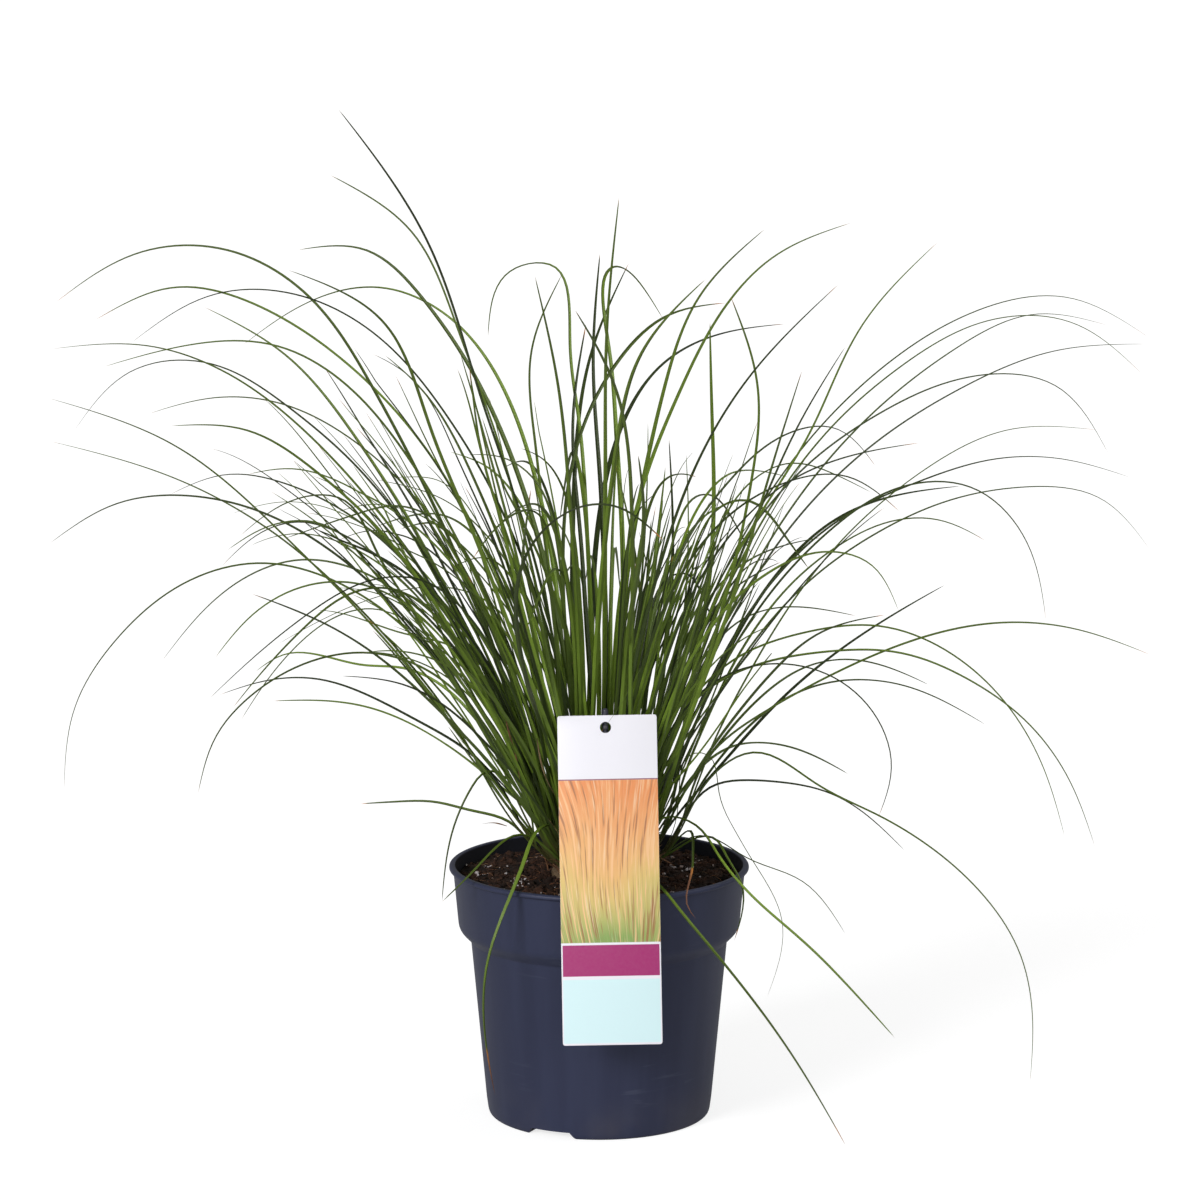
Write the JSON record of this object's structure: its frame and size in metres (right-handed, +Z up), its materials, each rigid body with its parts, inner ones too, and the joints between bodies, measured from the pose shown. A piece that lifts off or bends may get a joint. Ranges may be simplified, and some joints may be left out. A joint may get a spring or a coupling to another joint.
{
  "type": "potted sedge",
  "caption": "Tussock of fine arching sedge leaves in a dark tapered nursery pot filled with soil, with a plain card label hung on a stick at the front.",
  "frame": {"origin": "middle of the pot's underside, on the surface that it stands on", "axes": "+Z up, +X to the right of the card seen from the front, -Y towards the viewer of the card"},
  "size_m": [0.7052, 0.6066, 0.6531],
  "materials": {
    "pot_plastic": "dark navy-grey moulded plastic with a soft sheen",
    "peat": "crumbly dark peat with pale perlite grains",
    "old_sheaths": "dry brown fibrous leaf bases",
    "sedge_leaf": "satin green leaf with fine lengthwise veins",
    "stake_plastic": "dark moulded plastic",
    "printed_card": "smooth coated card with plain colour panels"
  },
  "bodies": {
    "root": {"pot": "pot_plastic", "potting_soil": "peat", "crown": "old_sheaths", "label": "printed_card", "label_stake": "stake_plastic", "shoot_01": "sedge_leaf", "shoot_02": "sedge_leaf", "shoot_03": "sedge_leaf", "shoot_04": "sedge_leaf", "shoot_05": "sedge_leaf", "shoot_06": "sedge_leaf", "shoot_07": "sedge_leaf", "shoot_08": "sedge_leaf", "shoot_09": "sedge_leaf", "shoot_10": "sedge_leaf", "shoot_11": "sedge_leaf", "shoot_12": "sedge_leaf", "shoot_13": "sedge_leaf", "shoot_14": "sedge_leaf", "shoot_15": "sedge_leaf", "shoot_16": "sedge_leaf", "shoot_17": "sedge_leaf", "shoot_18": "sedge_leaf", "shoot_19": "sedge_leaf", "shoot_20": "sedge_leaf", "shoot_21": "sedge_leaf", "shoot_22": "sedge_leaf", "shoot_23": "sedge_leaf", "shoot_24": "sedge_leaf", "shoot_25": "sedge_leaf", "shoot_26": "sedge_leaf", "shoot_27": "sedge_leaf", "shoot_28": "sedge_leaf", "shoot_29": "sedge_leaf", "shoot_30": "sedge_leaf", "shoot_31": "sedge_leaf", "shoot_32": "sedge_leaf", "shoot_33": "sedge_leaf", "shoot_34": "sedge_leaf", "shoot_35": "sedge_leaf", "shoot_36": "sedge_leaf", "shoot_37": "sedge_leaf", "shoot_38": "sedge_leaf", "shoot_39": "sedge_leaf", "shoot_40": "sedge_leaf"}
  },
  "joints": []
}
